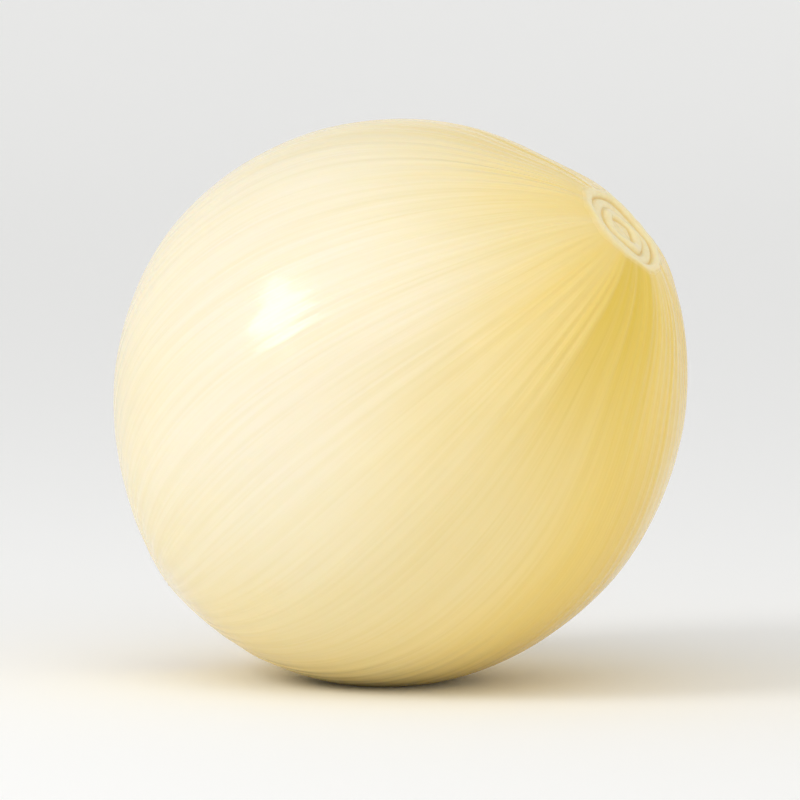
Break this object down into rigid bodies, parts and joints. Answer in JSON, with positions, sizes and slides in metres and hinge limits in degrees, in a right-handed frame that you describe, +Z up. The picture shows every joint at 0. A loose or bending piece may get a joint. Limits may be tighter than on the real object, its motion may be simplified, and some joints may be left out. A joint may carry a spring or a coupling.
{
  "type": "peeled onion",
  "caption": "Whole peeled globe onion lying on its flank, with veined flesh, a folded neck cut flat and a trimmed root plate.",
  "frame": {"origin": "bottom centre of the bounding box, on the surface that the onion rests on", "axes": "+Z up; the cut neck points towards +X, 28 degrees round towards -Y and 36 degrees above the horizontal"},
  "size_m": [0.0766, 0.076, 0.0749],
  "materials": {
    "onion_flesh": "moist satin flesh, cream with a yellow-green tint and fine veins towards the neck"
  },
  "bodies": {
    "root": {"peeled_onion": "onion_flesh"}
  },
  "joints": []
}
